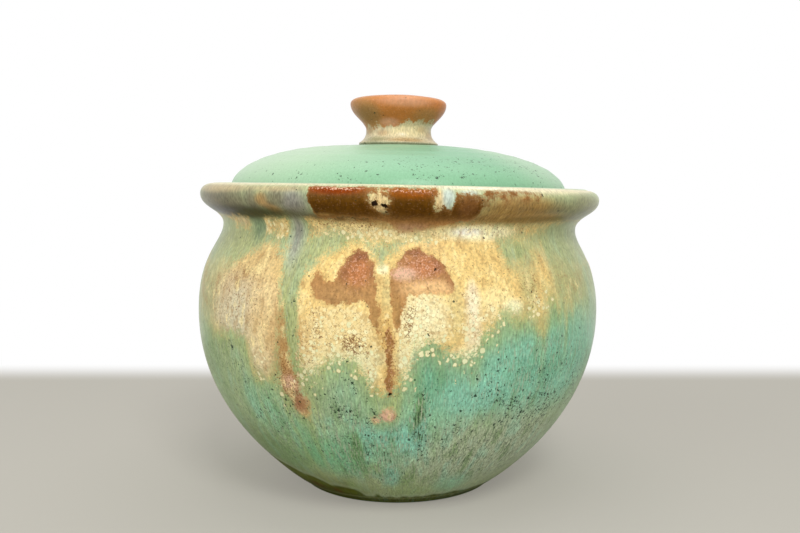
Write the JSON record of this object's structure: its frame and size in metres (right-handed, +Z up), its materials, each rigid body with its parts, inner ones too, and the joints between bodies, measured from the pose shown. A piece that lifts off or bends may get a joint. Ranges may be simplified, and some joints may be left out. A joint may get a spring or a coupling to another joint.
{
  "type": "lidded canister",
  "caption": "Round-bellied stoneware jar with a rolled rim, a domed lid that drops onto a ledge inside the rim, and a flared knob, for keeping dry food.",
  "frame": {"origin": "centre of the foot ring, on the surface that the jar stands on", "axes": "+Z up along the jar's axis, -Y towards the side that the picture shows, +X to the right as seen from that side"},
  "size_m": [0.1702, 0.1702, 0.163],
  "materials": {
    "jar_glaze": "satin runny glaze, green with ochre, cream and rust runs",
    "lid_glaze": "satin pale green glaze with fine dark specks",
    "knob_glaze": "satin rust-brown glaze, breaking to cream at the neck"
  },
  "bodies": {
    "jar": {"jar_body": "jar_glaze"},
    "lid": {"lid": "lid_glaze", "knob": "knob_glaze"}
  },
  "joints": [
    {"name": "lid_lift", "type": "slide", "parent": "jar", "child": "lid", "axis": [0, 0, 1], "range_m": [0, 0.15]}
  ]
}
